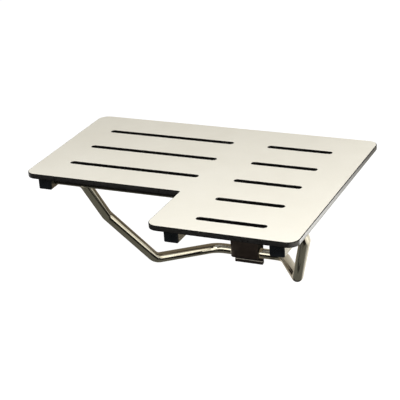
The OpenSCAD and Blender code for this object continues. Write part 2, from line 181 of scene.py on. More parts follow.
def set_inputs(node: Node, **inputs: object) -> None:
    """Sets or links inputs of a shader node.

    Args:
        node: The node.
        inputs: A value or a socket for each input, named with underscores.
    """
    for name, value in inputs.items():
        socket = node.inputs[name.replace("_", " ")]
        if isinstance(value, Socket):
            node.id_data.links.new(value, socket)
        else:
            socket.default_value = value


def add_node(tree: Tree, kind: str, **inputs: object) -> Node:
    """Adds a shader node.

    Args:
        tree: The node tree.
        kind: Its type, less the ShaderNode that all types begin with.
        inputs: A value or a socket for each input, named with underscores.

    Returns:
        The node.
    """
    node = tree.nodes.new("ShaderNode" + kind)
    set_inputs(node, **inputs)
    return node


def add_ramp(
    tree: Tree, value: Socket, tones: Sequence[Colour], ends: Sequence[float] = (0, 1)
) -> Socket:
    """Adds a ramp from one colour to another.

    Args:
        tree: The node tree.
        value: What the colour follows.
        tones: The two colours.
        ends: Values at which they are reached.

    Returns:
        The colour.
    """
    ramp = add_node(tree, "ValToRGB", Fac=value)
    elements = ramp.color_ramp.elements
    for element, place, tone in zip(elements, ends, tones, strict=True):
        element.position = place
        element.color = (*tone, 1.0)
    return ramp.outputs[0]


class Recipe:
    """A procedural material under construction, on the piece's own coordinates."""

    def __init__(self, name: str, source: str = "Object") -> None:
        """Starts the material.

        Args:
            name: Name of the material.
            source: "Object", or the name of the piece's vector attribute.
        """
        self.material = bpy.data.materials.new(name)
        self.material.use_nodes = True
        self.tree = self.material.node_tree
        self.made: dict[Pattern, Socket] = {}
        if source == "Object":
            self.place = add_node(self.tree, "TexCoord").outputs["Object"]
        else:
            attribute = add_node(self.tree, "Attribute")
            attribute.attribute_name = source
            self.place = attribute.outputs["Vector"]

    def feed(self, **inputs: object) -> None:
        """Gives the shader's own sockets values or patterns."""
        set_inputs(self.tree.nodes["Principled BSDF"], **inputs)

    def noise(self, pattern: Pattern) -> Socket:
        """Adds a noise pattern, or finds it where the material has it already.

        Args:
            pattern: The pattern.

        Returns:
            Its value, from 0 to 1.
        """
        if pattern not in self.made:
            place = add_node(self.tree, "Mapping", Scale=pattern.grain.value)
            set_inputs(place, Vector=self.place)
            texture = add_node(self.tree, "TexNoise", Vector=place.outputs[0])
            set_inputs(texture, Scale=1.0 / pattern.size, Detail=pattern.layers)
            self.made[pattern] = texture.outputs[0]
        return self.made[pattern]

    def spread(self, value: Socket, low: float, high: float) -> Socket:
        """Returns a pattern's useful part, spread from one value to another."""
        ends = dict(From_Min=NOISE_LOW, From_Max=NOISE_HIGH, To_Min=low, To_Max=high)
        return add_node(self.tree, "MapRange", Value=value, **ends).outputs[0]

    def tones(self, value: Socket, low: Colour, high: Colour) -> Socket:
        """Returns a pattern's useful part, turned from one colour to another."""
        return add_ramp(self.tree, value, (low, high), (NOISE_LOW, NOISE_HIGH))

    def relief(self, depth: float, layers: Iterable[tuple[Pattern, float]]) -> None:
        """Adds fine relief to the surface.

        Args:
            depth: Height of the relief, in metres.
            layers: Its patterns, each with its strength from 0 to 1.
        """
        before: dict[str, Socket] = {}
        for pattern, strength in layers:
            bump = add_node(self.tree, "Bump", Strength=strength, Distance=depth)
            set_inputs(bump, Height=self.noise(pattern), **before)
            before = {"Normal": bump.outputs[0]}
        self.feed(**before)


@dataclass(frozen=True)
class Finish:
    """What all finishes share.

    The grain runs between the two tones, and where there is a veil, it tints them. The
    roughness follows the wear, and the relief the bumps. None stands for the grain.
    """

    name: str
    dark: Colour
    light: Colour
    grain: Pattern
    smooth: float
    rough: float
    depth: float
    bumps: Bumps
    wear: Pattern | None = None
    veil: Pattern | None = None
    veil_tone: Colour = WHITE
    metallic: float = 0.0
    ior: float = 1.5
    sheen: float = 0.5
    follows: str = "Object"

    def material(self) -> Material:
        """Makes the material.

        Returns:
            The material.
        """
        recipe = Recipe(self.name, self.follows)
        base = recipe.tones(recipe.noise(self.grain), self.dark, self.light)
        if self.veil:
            tint = recipe.tones(recipe.noise(self.veil), self.veil_tone, WHITE)
            mix = add_node(recipe.tree, "Mix")
            mix.data_type = "RGBA"
            mix.blend_type = "MULTIPLY"
            set_inputs(mix, Factor=1.0, A=base, B=tint)
            base = mix.outputs["Result"]
        wear = recipe.noise(self.wear or self.grain)
        recipe.feed(
            Base_Color=base,
            Roughness=recipe.spread(wear, self.smooth, self.rough),
            Metallic=self.metallic,
            IOR=self.ior,
            Specular_IOR_Level=self.sheen,
        )
        recipe.relief(self.depth, [(p or self.grain, share) for p, share in self.bumps])
        return recipe.material


@dataclass(frozen=True)
class BoardFace(Finish):
    """Ivory suede face of the compact laminate board."""

    name: str = "ivory_face"
    dark: Colour = (0.858, 0.824, 0.716)
    light: Colour = (0.892, 0.860, 0.756)
    grain: Pattern = Pattern(0.11, 4.0)
    smooth: float = 0.40
    rough: float = 0.52
    depth: float = 0.00012
    bumps: Bumps = ((Pattern(0.0009, 2.0), 0.30), (Pattern(0.004), 0.12))
    wear: Pattern = Pattern(0.035)
    veil: Pattern = Pattern(0.0011, 2.0)
    veil_tone: Colour = (0.965, 0.962, 0.955)
    ior: float = 1.48


@dataclass(frozen=True)
class BoardCore(Finish):
    """Black core of the board, seen at its machined edges and in its slots."""

    name: str = "black_core"
    dark: Colour = (0.0040, 0.0038, 0.0040)
    light: Colour = (0.0095, 0.0090, 0.0088)
    grain: Pattern = Pattern(0.0007, 2.0, Grain.LEVEL)
    smooth: float = 0.26
    rough: float = 0.40
    depth: float = 0.00006
    bumps: Bumps = ((None, 0.25), (Pattern(0.0015), 0.15))
    wear: Pattern = Pattern(0.006)
    ior: float = 1.42


@dataclass(frozen=True)
class Metal(Finish):
    """Metal with brushed lines or an even satin."""

    smooth: float = 0.16
    rough: float = 0.26
    depth: float = 0.00004
    bumps: Bumps = ((None, 0.22), (Pattern(0.03), 0.05))
    veil: Pattern = Pattern(0.03)
    veil_tone: Colour = (0.93, 0.93, 0.92)
    metallic: float = 1.0


@dataclass(frozen=True)
class Plastic(Finish):
    """Moulded plastic or powder coat with a fine even texture."""

    grain: Pattern = Pattern(0.012, 4.0)
    smooth: float = 0.42
    rough: float = 0.56
    depth: float = 0.00010
    bumps: Bumps = ((Pattern(0.0008, 2.0), 0.35), (None, 0.08))


@dataclass(frozen=True)
class WeldSeam(Finish):
    """Cleaned weld, rippled and a little straw coloured by its heat."""

    name: str = "weld_seam"
    dark: Colour = (0.36, 0.31, 0.24)
    light: Colour = (0.52, 0.50, 0.46)
    grain: Pattern = Pattern(0.007)
    smooth: float = 0.30
    rough: float = 0.50
    depth: float = 0.0003
    bumps: Bumps = ((Pattern(0.0016, 2.0), 0.6),)
    wear: Pattern = Pattern(0.0016, 2.0)
    metallic: float = 1.0


class Palette:
    """All finishes of the seat, each made once."""

    def __init__(self) -> None:
        """Makes the finishes."""
        warm = ((0.420, 0.400, 0.345), (0.560, 0.540, 0.475))
        grey = ((0.285, 0.276, 0.250), (0.370, 0.360, 0.330))
        shade = ((0.0008, 0.0007, 0.0007), (0.0020, 0.0018, 0.0018))
        zinc = ((0.42, 0.43, 0.44), (0.60, 0.61, 0.62))
        brass = ((0.50, 0.38, 0.16), (0.64, 0.50, 0.24))
        plug = ((0.0022, 0.0034, 0.0050), (0.0042, 0.0062, 0.0088))
        # Pale tones of the stop's top front edge: a painted highlight
        painted_highlight = ((0.50, 0.46, 0.39), (0.68, 0.63, 0.54))
        nylon = ((0.003, 0.003, 0.0033), (0.006, 0.006, 0.0063))
        bronze = ((0.0160, 0.0098, 0.0070), (0.0235, 0.0148, 0.0106))
        self.face = BoardFace().material()
        self.core = BoardCore().material()
        # Darker copy of the core for arrises and slot walls: painted shade, with a real
        # matte finish
        self.shade = BoardCore(
            "matte_core", *shade, smooth=0.55, rough=0.70, sheen=0.08
        ).material()
        along_x, along_y, along_z = (Pattern(0.0006, 4.0, way) for way in BRUSHED)
        self.tube = Metal(
            "brushed_tube", *warm, along_y, 0.09, 0.15, follows="run"
        ).material()
        self.steel_x = Metal("brushed_steel_x", *grey, along_x).material()
        self.steel_y = Metal("brushed_steel_y", *grey, along_y).material()
        self.steel_z = Metal("brushed_steel_z", *warm, along_z).material()
        self.weld = WeldSeam().material()
        even = Pattern(0.003, 4.0)
        self.zinc = Metal("zinc_plate", *zinc, even, 0.28, 0.46).material()
        self.brass = Metal("brass", *brass, Pattern(0.002, 4.0)).material()
        self.plug = Plastic("plug_plastic", *plug, sheen=0.1).material()
        self.painted_highlight = Plastic("rubbed_edge", *painted_highlight).material()
        self.nylon = Plastic(
            "dark_nylon", *nylon, smooth=0.44, rough=0.58, sheen=0.1
        ).material()
        pebbles = ((Pattern(0.0012, 2.0), 0.35), (None, 0.08))
        self.guide = Plastic(
            "bronze_coat", *bronze, smooth=0.36, rough=0.50, sheen=0.25, bumps=pebbles
        ).material()


def verts_among(geom: Iterable[object]) -> list[Vert]:
    """Returns the vertices in a list of mixed geometry."""
    return [g for g in geom if isinstance(g, Vert)]


def verts_of(loop: Iterable[Edge]) -> set[Vert]:
    """Returns the vertices of a loop of edges."""
    return {v for e in loop for v in e.verts}


class Workpiece:
    """One piece being shaped with bmesh operators, in the row frame."""

    def __init__(self, name: str) -> None:
        """Starts an empty piece.

        Args:
            name: Name of the finished object.
        """
        self.name = name
        self.bm = bmesh.new()

    def edges_at(self, sharper: float) -> list[Edge]:
        """Finds the sharp edges.

        Args:
            sharper: Least angle between an edge's two faces, in degrees.

        Returns:
            The edges that are at least that sharp.
        """
        least = math.radians(sharper)
        return [
            e for e in self.bm.edges if e.is_manifold and e.calc_face_angle(0.0) > least
        ]

    def front(self) -> bmesh.types.BMFace:
        """Finds the face furthest from the wall.

        Returns:
            The largest of the faces that are furthest.
        """
        return min(
            self.bm.faces,
            key=lambda f: (round(f.calc_center_median().y, 6), -f.calc_area()),
        )

    def round_off(
        self,
        geom: Iterable[Edge | Vert],
        width: float,
        segments: int = 2,
        affect: Rounded = Rounded.EDGES,
    ) -> None:
        """Rounds edges, or a flat face's corners.

        Args:
            geom: Edges or vertices to round.
            width: Width of the rounding, in metres.
            segments: Number of faces across it.
            affect: Whether edges or corners are given.
        """
        bmesh.ops.bevel(
            self.bm,
            geom=list(geom),
            offset=width,
            offset_type="OFFSET",
            affect=affect.value,
            segments=segments,
            profile=0.5,
            material=-1,
            clamp_overlap=False,
        )

    def box(self, low: Point, high: Point) -> list[Vert]:
        """Adds a box.

        Args:
            low: Its lowest corner.
            high: Its highest corner.

        Returns:
            Its eight vertices.
        """
        made = bmesh.ops.create_cube(self.bm, size=1.0)["verts"]
        a, b = Vector(low), Vector(high)
        bmesh.ops.scale(self.bm, vec=b - a, verts=made)
        bmesh.ops.translate(self.bm, vec=(a + b) / 2, verts=made)
        return made

    def square_tube(self, low: Point, high: Point, axis: Axis, radius: float) -> None:
        """Adds a bar of square tube with round long edges.

        Args:
            low: Its lowest corner.
            high: Its highest corner.
            axis: The axis that it runs along.
            radius: Radius of its long edges.
        """
        made = set(self.box(low, high))
        across = [other.value for other in Axis if other is not axis]
        long_edges = []
        for e in self.bm.edges:
            run = e.verts[1].co - e.verts[0].co
            if e.verts[0] in made and all(abs(run[i]) < TOUCH for i in across):
                long_edges.append(e)
        self.round_off(long_edges, radius, TUBE_EDGE_FACES)

    def ring(self, radius: float, segments: int, matrix: Matrix) -> list[Edge]:
        """Adds a loop of edges.

        Args:
            radius: Its radius.
            segments: Number of its edges.
            matrix: Its place.

        Returns:
            The loop's edges.
        """
        made = bmesh.ops.create_circle(
            self.bm, cap_ends=False, radius=radius, segments=segments, matrix=matrix
        )["verts"]
        inside = set(made)
        return [e for e in self.bm.edges if e.verts[0] in inside]

    def hexagon(self, across: float, matrix: Matrix) -> list[Edge]:
        """Adds a six sided loop whose sides have several edges each.

        Args:
            across: Its width across the flats.
            matrix: Its place.

        Returns:
            The loop's edges.
        """
        loop = self.ring(across / 2 / math.cos(math.radians(30)), 6, matrix)
        cut = bmesh.ops.subdivide_edges(self.bm, edges=loop, cuts=HEXAGON_CUTS)
        inside = set(verts_among(cut["geom"]))
        return [e for e in self.bm.edges if set(e.verts) <= inside]

    def pull(
        self, loop: Iterable[Edge], move: Vector, grow: float = 1.0
    ) -> list[Edge]:
        """Extrudes a loop of edges.

        Args:
            loop: The edges.
            move: How far the new loop moves.
            grow: Factor on the new loop's size.

        Returns:
            The new loop's edges.
        """
        geom = bmesh.ops.extrude_edge_only(self.bm, edges=list(loop))["geom"]
        verts = verts_among(geom)
        middle = sum((v.co for v in verts), Vector()) / len(verts)
        space = Matrix.Translation(-middle)
        bmesh.ops.scale(self.bm, vec=(grow, grow, grow), space=space, verts=verts)
        bmesh.ops.translate(self.bm, vec=move, verts=verts)
        fresh = set(verts)
        return [g for g in geom if isinstance(g, Edge) and set(g.verts) <= fresh]

    def sweep(
        self, loop: Sequence[Edge], path: Sequence[Point], radius: float, steps: int
    ) -> list[Edge]:
        """Extrudes a loop along a path and spins it round each of the path's bends.

        Args:
            loop: Edges that stand square at the path's first point.
            path: The path's corner points.
            radius: Radius of the bends, at the middle of the loop.
            steps: Number of faces along each bend.

        Returns:
            The last loop's edges.
        """
        points = [Vector(p) for p in path]
        here = points[0]
        for i in range(1, len(points)):
            ahead = (points[i] - points[i - 1]).normalized()
            angle, tangent = 0.0, 0.0
            if i + 1 < len(points):
                after = (points[i + 1] - points[i]).normalized()
                angle = ahead.angle(after)
                tangent = radius * math.tan(angle / 2)
            stop = points[i] - ahead * tangent
            if (stop - here).length > TOUCH:
                loop = self.pull(loop, stop - here)
            if angle > 0.0:
                axis = ahead.cross(after).normalized()
                last = bmesh.ops.spin(
                    self.bm,
                    geom=list(loop) + list(verts_of(loop)),
                    cent=stop + axis.cross(ahead) * radius,
                    axis=axis,
                    dvec=Vector(),
                    angle=angle,
                    steps=steps,
                    use_merge=False,
                    use_duplicate=False,
                )["geom_last"]
                loop = [g for g in last if isinstance(g, Edge)]
                here = points[i] + after * tangent
        return list(loop)

    def close(self, loop: Iterable[Edge]) -> None:
        """Closes a loop with one face."""
        bmesh.ops.edgeloop_fill(self.bm, edges=list(loop))

    def rod(self, start: Point, length: float, radius: float) -> list[Edge]:
        """Adds a round rod along X.

        Args:
            start: Middle of its left end.
            length: Its length.
            radius: Its radius.

        Returns:
            The edges round its ends.
        """
        place = Matrix.Translation(start) @ turned(90, Axis.Y)
        loop = self.ring(radius, ROUND_SIDES, place)
        end = self.pull(loop, Vector((length, 0, 0)))
        self.close(loop)
        self.close(end)
        self.outward()
        return loop + end

    def bridge(self, loops: Sequence[Edge]) -> None:
        """Joins two loops with a band of faces."""
        bmesh.ops.bridge_loops(self.bm, edges=loops)

    def outward(self) -> None:
        """Merges doubles and points all faces outwards."""
        bmesh.ops.remove_doubles(self.bm, verts=self.bm.verts, dist=TOUCH)
        bmesh.ops.recalc_face_normals(self.bm, faces=self.bm.faces)

    def place(self, matrix: Matrix) -> None:
        """Moves the whole piece by a matrix."""
        bmesh.ops.transform(self.bm, matrix=matrix, verts=self.bm.verts)

    def stand(self, *materials: Material) -> bpy.types.Object:
        """Ends the shaping and puts the piece in the scene.

        Args:
            materials: Its materials, in the order of its faces' indices.

        Returns:
            The piece.
        """
        mesh = bpy.data.meshes.new(self.name)
        self.bm.to_mesh(mesh)
        self.bm.free()
        for material in materials:
            mesh.materials.append(material)
        return put_in_scene(self.name, mesh)

    def finish(
        self, node: str, body: Body, slot: Slot, *materials: Material, sharp: float = 35
    ) -> bpy.types.Object:
        """Turns the shape into a dressed piece in place of a CAD node.

        Args:
            node: CAD node that it stands for.
            body: Body that the piece rides on.
            slot: The record's material slot of its finish; not used.
            materials: Its materials, in the order of its faces' indices.
            sharp: Angle above which an edge stays crisp, in degrees.

        Returns:
            The finished piece.
        """
        crisp = math.radians(sharp)
        for face in self.bm.faces:
            face.smooth = True
        for edge in self.bm.edges:
            edge.smooth = not edge.is_manifold or edge.calc_face_angle(0.0) < crisp
        piece = self.stand(*materials)
        weights = piece.modifiers.new("even_shading", "WEIGHTED_NORMAL")
        weights.keep_sharp = True
        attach(piece, body.value)
        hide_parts(node)
        faces = len(piece.data.polygons)
        LOG.info("%s rides on %s, %d faces", self.name, body.value, faces)
        return piece


def hex_nut(
    work: Workpiece, start: Point, across: float, bore: float, thick: float
) -> None:
    """Adds a nut along X, its corners rounded down at both ends and a round bore.

    Args:
        work: The piece being shaped.
        start: Middle of its left face.
        across: Its width across the flats.
        bore: Diameter of its bore.
        thick: Its thickness.
    """
    place = Matrix.Translation(start) @ turned(90, Axis.Y) @ turned(30, Axis.Z)
    outer = work.hexagon(across, place)
    inner = work.ring(bore / 2, ROUND_SIDES, place)
    work.bridge(outer + inner)
    along = Vector((thick, 0, 0))
    work.bridge(work.pull(outer, along) + work.pull(inner, along))
    work.outward()
    middle = Vector(start) + along / 2
    slope = math.tan(math.radians(NUT_SLOPE))
    for vert in work.bm.verts:
        x, y, z = vert.co - middle
        spare = math.hypot(y, z) - across / 2
        if abs(x) < thick and spare > 0:
            vert.co.x -= math.copysign(spare * slope, x)


@dataclass
class Dresser:
    """Dresses CAD nodes: as they are, or as a copy with softened edges."""

    palette: Palette
    nodes: dict[str, bpy.types.Object]
    flat: float = 0.5
    corner: float = 40.0

    def keep(self, material: Material, *names: str) -> None:
        """Gives CAD nodes that stay as they are a better material.

        Args:
            material: The material.
            names: Names of the nodes.
        """
        for name in names:
            for slot in self.nodes[name].material_slots:
                slot.material = material
            LOG.info("%s keeps its CAD shape", name)

    def soften(
        self, name: str, width: float, body: Body, slot: Slot, material: Material
    ) -> None:
        """Replaces a node with a copy whose sharp edges are softly broken.

        Args:
            name: Name of the node.
            width: Width of the broken edges, in metres.
            body: Body that it rides on.
            slot: The record's material slot.
            material: The material.
        """
        work = Workpiece(name + "_soft")
        work.bm.from_mesh(self.nodes[name].data)
        bmesh.ops.remove_doubles(work.bm, verts=work.bm.verts, dist=TOUCH)
        bmesh.ops.dissolve_limit(
            work.bm,
            angle_limit=math.radians(self.flat),
            verts=work.bm.verts,
            edges=work.bm.edges,
        )
        work.round_off(work.edges_at(self.corner), width)
        for face in work.bm.faces:
            face.material_index = 0
        work.finish(name, body, slot, material)

    def build(self) -> None:
        """Dresses the nodes whose CAD shape stays or only gets softened edges."""
        p = self.palette
        self.keep(p.brass, "panel_inserts")
        self.keep(p.steel_x, "axle_rod")
        self.keep(p.zinc, "shoe_rivets")
        for side in ("left", "right"):
            self.keep(p.nylon, f"pivot_bush_{side}", f"hinge_washers_{side}")
            for end in ("outer", "inner"):
                self.keep(p.nylon, f"sleeve_bush_{side}_{end}")
            lug, bracket = f"hinge_lug_{side}", f"wall_bracket_{side}"
            self.soften(lug, 0.6 * MM, Body.SEAT, Slot.STEEL, p.steel_x)
            self.soften(bracket, 0.6 * MM, Body.WALL, Slot.STEEL, p.steel_z)
        self.soften("track_plate", 0.4 * MM, Body.WALL, Slot.GUIDE, p.guide)
        self.soften("shoe_liner", 0.5 * MM, Body.SHOE, Slot.NYLON, p.nylon)


@dataclass
class SeatBoard:
    """L shaped board with drain slots."""

    palette: Palette
    left: float = -370.0 * MM
    right: float = 341.2 * MM
    back: float = -39.5 * MM
    short_front: float = -423.3 * MM
    long_front: float = -598.3 * MM
    notch_x: float = 15.3 * MM
    low: float = 47.0 * MM
    high: float = 59.0 * MM
    corner: float = 25.0 * MM
    inner_corner: float = 4.0 * MM
    corner_steps: int = 14
    arris: float = 1.4 * MM
    face_normal: float = 0.999
    edge_normal: float = 0.1
    slot_width: float = 12.7 * MM
    slot_sides: int = 24
    slot_back: float = 94.2 * MM
    slot_pitch: float = 101.7 * MM
    long_slot: tuple[float, float] = (74.1 * MM, 315.5 * MM)
    short_slot: tuple[float, float] = (476.2 * MM, 152.3 * MM)
    long_slots: int = 3
    short_slots: int = 5

    def outline(self, work: Workpiece) -> None:
        """Adds the L with round corners, as a loop of edges on the top plane.

        Args:
            work: The piece being shaped.
        """
        corners = (
            (self.left, self.back, self.corner),
            (self.left, self.short_front, self.corner),
            (self.notch_x, self.short_front, self.inner_corner),
            (self.notch_x, self.long_front, self.corner),
            (self.right, self.long_front, self.corner),
            (self.right, self.back, self.corner),
        )
        verts = [work.bm.verts.new((x, y, self.high)) for x, y, _ in corners]
        work.bm.faces.new(verts)
        for vert, (_, _, radius) in zip(verts, corners, strict=True):
            work.round_off([vert], radius, self.corner_steps, Rounded.CORNERS)
        bmesh.ops.delete(work.bm, geom=work.bm.faces[:], context="FACES_ONLY")

    def slots(self) -> list[Point]:
        """Lays out the two rows of drain slots.

        Returns:
            Each slot's left end, middle line and length.
        """
        rows = (
            (*self.long_slot, self.long_slots),
            (*self.short_slot, self.short_slots),
        )
        return [
            (self.left + start, self.back - self.slot_back - i * self.slot_pitch, run)
            for start, run, count in rows
            for i in range(count)
        ]

    def in_slot(self, point: Vector) -> bool:
        """Tells whether a point lies in or at a drain slot.

        Args:
            point: The point.

        Returns:
            Whether it is no further than an arris from a slot's box.
        """
        half = self.slot_width / 2 + self.arris
        return any(
            x - self.arris < point.x < x + length + self.arris
            and abs(point.y - y) < half
            for x, y, length in self.slots()
        )

    def drain_slot(self, work: Workpiece, x: float, y: float, length: float) -> None:
        """Adds one slot's outline, a circle whose halves are drawn apart.

        Args:
            work: The piece being shaped.
            x: The slot's left end.
            y: The slot's middle line.
            length: The slot's length.
        """
        angle = 180 / self.slot_sides
        radius = self.slot_width / 2 / math.cos(math.radians(angle))
        middle = Matrix.Translation((x + length / 2, y, self.high))
        place = middle @ turned(angle, Axis.Z)
        verts = verts_of(work.ring(radius, self.slot_sides, place))
        draw = (length - self.slot_width) / 2
        for side in (-1, 1):
            half = [v for v in verts if side * (v.co.x - x - length / 2) > 0]
            bmesh.ops.translate(work.bm, vec=(side * draw, 0, 0), verts=half)

    def build(self) -> None:
        """Builds the board: pale faces, a black edge, and painted shade on its arrises
        and slot walls, from a darker copy of the core.
        """
        work = Workpiece("seat_board")
        self.outline(work)
        for slot in self.slots():
            self.drain_slot(work, *slot)
        bmesh.ops.triangle_fill(work.bm, use_beauty=True, edges=work.bm.edges[:])
        made = bmesh.ops.extrude_face_region(work.bm, geom=work.bm.faces[:])["geom"]
        down = (0, 0, self.low - self.high)
        bmesh.ops.translate(work.bm, vec=down, verts=verts_among(made))
        work.outward()
        work.round_off(work.edges_at(CORNER_ANGLE), self.arris)
        # Top and bottom take the face, outer walls the core, and arrises and slot walls
        # the darker copy: painted shade
        for face in work.bm.faces:
            up = abs(face.normal.z)
            middle = face.calc_center_median()
            if up > self.face_normal:
                face.material_index = 0
            elif up < self.edge_normal and not self.in_slot(middle):
                face.material_index = 1
            else:
                face.material_index = 2
        p = self.palette
        work.finish(
            "seat_panel", Body.SEAT, Slot.BOARD, p.face, p.core, p.shade, sharp=50
        )


@dataclass
class TubeFrame:
    """Square tube frame under the board, with its plugs, axle hardware and screws."""

    palette: Palette
    size: float = 32.0 * MM
    radius: float = 3.0 * MM
    axis_z: float = 31.0 * MM
    left_x: float = -331.0 * MM
    middle_x: float = 63.0 * MM
    right_x: float = 293.0 * MM
    cross_back: float = -44.5 * MM
    short_plug: float = -403.3 * MM
    long_plug: float = -578.3 * MM
    plug_face: float = 3.0 * MM
    plug_round: float = 1.2 * MM
    plug_round_steps: int = 3
    plug_border: float = 2.2 * MM
    plug_recess: float = 0.5 * MM
    collar_inset: float = 2.1 * MM
    collar_overlap: float = 0.1 * MM
    collar: float = 14.0 * MM
    weld_radius: float = 1.6 * MM
    weld_offset: float = 0.4 * MM
    weld_sides: int = 12
    weld_steps: int = 22
    weld_swell: float = 1.16
    axle_y: float = -373.5 * MM
    axle_nut: tuple[float, float, float] = (18.0 * MM, 12.1 * MM, 9.6 * MM)
    screw: float = 6.0 * MM
    screw_height: float = 0.45
    screw_rim: float = 0.62
    socket_width: float = 2 / 3
    socket_depth: float = 0.55
    crown: tuple[tuple[float, float], ...] = (
        (1.25, 0.14),
        (1.16, 0.22),
        (1.07, 0.28),
        (1.04, 0.16),
        (1.0, 0.20),
    )
    screw_rows: tuple[float, ...] = (-114.5 * MM, -324.5 * MM, -534.5 * MM)

    def runs(self) -> tuple[tuple[str, float, float], ...]:
        """Lays out the three tubes that run from the wall to the front.

        Returns:
            Each tube's name, middle line and plug face.
        """
        return (
            ("left", self.left_x, self.short_plug),
            ("middle", self.middle_x, self.long_plug),
            ("right", self.right_x, self.long_plug),
        )

    def tubes(self) -> None:
        """Builds the three tubes and the rear cross tube."""
        p = self.palette
        half = self.size / 2
        low, high = self.axis_z - half, self.axis_z + half
        cross_front = self.cross_back - self.size
        for name, x, plug in self.runs():
            work = Workpiece(f"frame_tube_{name}_round")
            start = (x - half, plug + self.plug_face, low)
            work.square_tube(start, (x + half, cross_front, high), Axis.Y, self.radius)
            for side in (-1, 1):
                self.weld(work, x + side * half, cross_front)
            node = f"frame_tube_{name}"
            work.finish(node, Body.SEAT, Slot.STEEL, p.steel_y, p.weld)
        work = Workpiece("rear_cross_tube_round")
        reach = half - self.plug_face
        start = (self.left_x - reach, cross_front, low)
        end = (self.right_x + reach, self.cross_back, high)
        work.square_tube(start, end, Axis.X, self.radius)
        work.finish("rear_cross_tube", Body.SEAT, Slot.STEEL, p.steel_x)

    def weld(self, work: Workpiece, x: float, y: float) -> None:
        """Adds an upright rippled weld in a corner between two tubes.

        Args:
            work: The piece that it belongs to.
            x: The corner's place across the seat.
            y: The corner's place from the wall.
        """
        reach = self.size / 2 - self.radius
        rise = Vector((0, 0, 2 * reach / self.weld_steps))
        start = Matrix.Translation((x, y - self.weld_offset, self.axis_z - reach))
        before = set(work.bm.faces)
        loop = work.ring(self.weld_radius, self.weld_sides, start)
        work.close(loop)
        for i in range(self.weld_steps):
            swell = self.weld_swell if i % 2 == 0 else 1 / self.weld_swell
            loop = work.pull(loop, rise, swell)
        work.close(loop)
        for face in set(work.bm.faces) - before:
            face.material_index = 1

    def plug(self, node: str, matrix: Matrix) -> None:
        """Builds one tube plug: a cushioned face over a short collar.

        Args:
            node: CAD node that it stands for.
            matrix: Place of the plug, whose face looks along -Y.
        """
        half = self.size / 2
        work = Workpiece(node + "_cap")
        start = (-half, -self.plug_face, -half)
        work.square_tube(start, (half, 0.0, half), Axis.Y, self.radius)
        work.round_off(work.front().edges, self.plug_round, self.plug_round_steps)
        front = [work.front()]
        border, depth = self.plug_border, -self.plug_recess
        bmesh.ops.inset_region(work.bm, faces=front, thickness=border, depth=depth)
        side = half - self.collar_inset
        work.box((-side, -self.collar_overlap, -side), (side, self.collar, side))
        work.place(matrix)
        work.finish(node, Body.SEAT, Slot.PLUG, self.palette.plug)

    def plugs(self) -> None:
        """Builds the five plugs."""
        z = self.axis_z
        for name, x, y in self.runs():
            place = Matrix.Translation((x, y + self.plug_face, z))
            self.plug(f"plug_front_{name}", place)
        half = self.size / 2
        reach, y = half - self.plug_face, self.cross_back - half
        ends = (("left", self.left_x - reach, -90), ("right", self.right_x + reach, 90))
        for name, x, angle in ends:
            place = Matrix.Translation((x, y, z)) @ turned(angle, Axis.Z)
            self.plug(f"plug_rear_{name}", place)

    def screws(self) -> None:
        """Builds the panel screws: round heads with hexagon sockets."""
        head, height = self.screw, self.screw_height * self.screw
        under = self.axis_z - self.size / 2
        places = [(self.left_x, y) for y in self.screw_rows[:-1]]
        for x in (self.middle_x, self.right_x):
            places += [(x, y) for y in self.screw_rows]
        work = Workpiece("panel_screws_turned")
        for x, y in places:
            tip = Matrix.Translation((x, y, under - height))
            socket = work.hexagon(head * self.socket_width, tip)
            loop = work.ring(head * self.screw_rim, ROUND_SIDES, tip)
            work.bridge(socket + loop)
            work.close(work.pull(socket, Vector((0, 0, height * self.socket_depth))))
            for grow, rise in self.crown:
                loop = work.pull(loop, Vector((0, 0, height * rise)), grow)
            loop = work.pull(loop, Vector(), self.screw / 2 / head)
            work.close(work.pull(loop, Vector((0, 0, self.size))))
        work.outward()
        work.finish("panel_screws", Body.SEAT, Slot.ZINC, self.palette.zinc)

    def axle_nuts(self) -> None:
        """Builds the two nuts at the ends of the axle."""
        half = self.size / 2
        thick = self.axle_nut[-1]
        work = Workpiece("axle_nuts_turned")
        for x in (self.left_x - half - thick, self.right_x + half):
            hex_nut(work, (x, self.axle_y, self.axis_z), *self.axle_nut)
        work.finish("axle_nuts", Body.SEAT, Slot.ZINC, self.palette.zinc)

    def build(self) -> None:
        """Builds the whole frame."""
        self.tubes()
        self.plugs()
        self.screws()
        self.axle_nuts()


@dataclass
class WallHinges:
    """Bolts and nuts of the two hinges at the wall."""

    palette: Palette
    x: float = 190.0 * MM
    axis_y: float = -31.0 * MM
    axis_z: float = 31.0 * MM
    ear_outer: float = 22.8 * MM
    bolt: float = 10.0 * MM
    bolt_end: float = 0.1 * MM
    end_round: float = 0.7 * MM
    shank_inset: float = 0.3 * MM
    bore_play: float = 0.1 * MM
    across: float = 16.0 * MM
    head: float = 6.4 * MM
    nut: float = 8.0 * MM

    def build(self) -> None:
        """Builds the hinge bolts and their nuts."""
        zinc = self.palette.zinc
        y, z = self.axis_y, self.axis_z
        for side, x in (("left", -self.x), ("right", self.x)):
            work = Workpiece(f"hinge_bolt_{side}_turned")
            low = x - self.ear_outer - self.head
            hex_nut(work, (low, y, z), self.across, self.bolt, self.head)
            start = low + self.shank_inset
            end = x + self.ear_outer + self.nut + self.bolt_end
            rims = work.rod((start, y, z), end - start, self.bolt / 2)
            work.round_off(rims, self.end_round)
            work.finish(f"hinge_bolt_{side}", Body.WALL, Slot.ZINC, zinc)
            work = Workpiece(f"hinge_nut_{side}_turned")
            start, bore = (x + self.ear_outer, y, z), self.bolt + self.bore_play
            hex_nut(work, start, self.across, bore, self.nut)
            work.finish(f"hinge_nut_{side}", Body.WALL, Slot.ZINC, zinc)


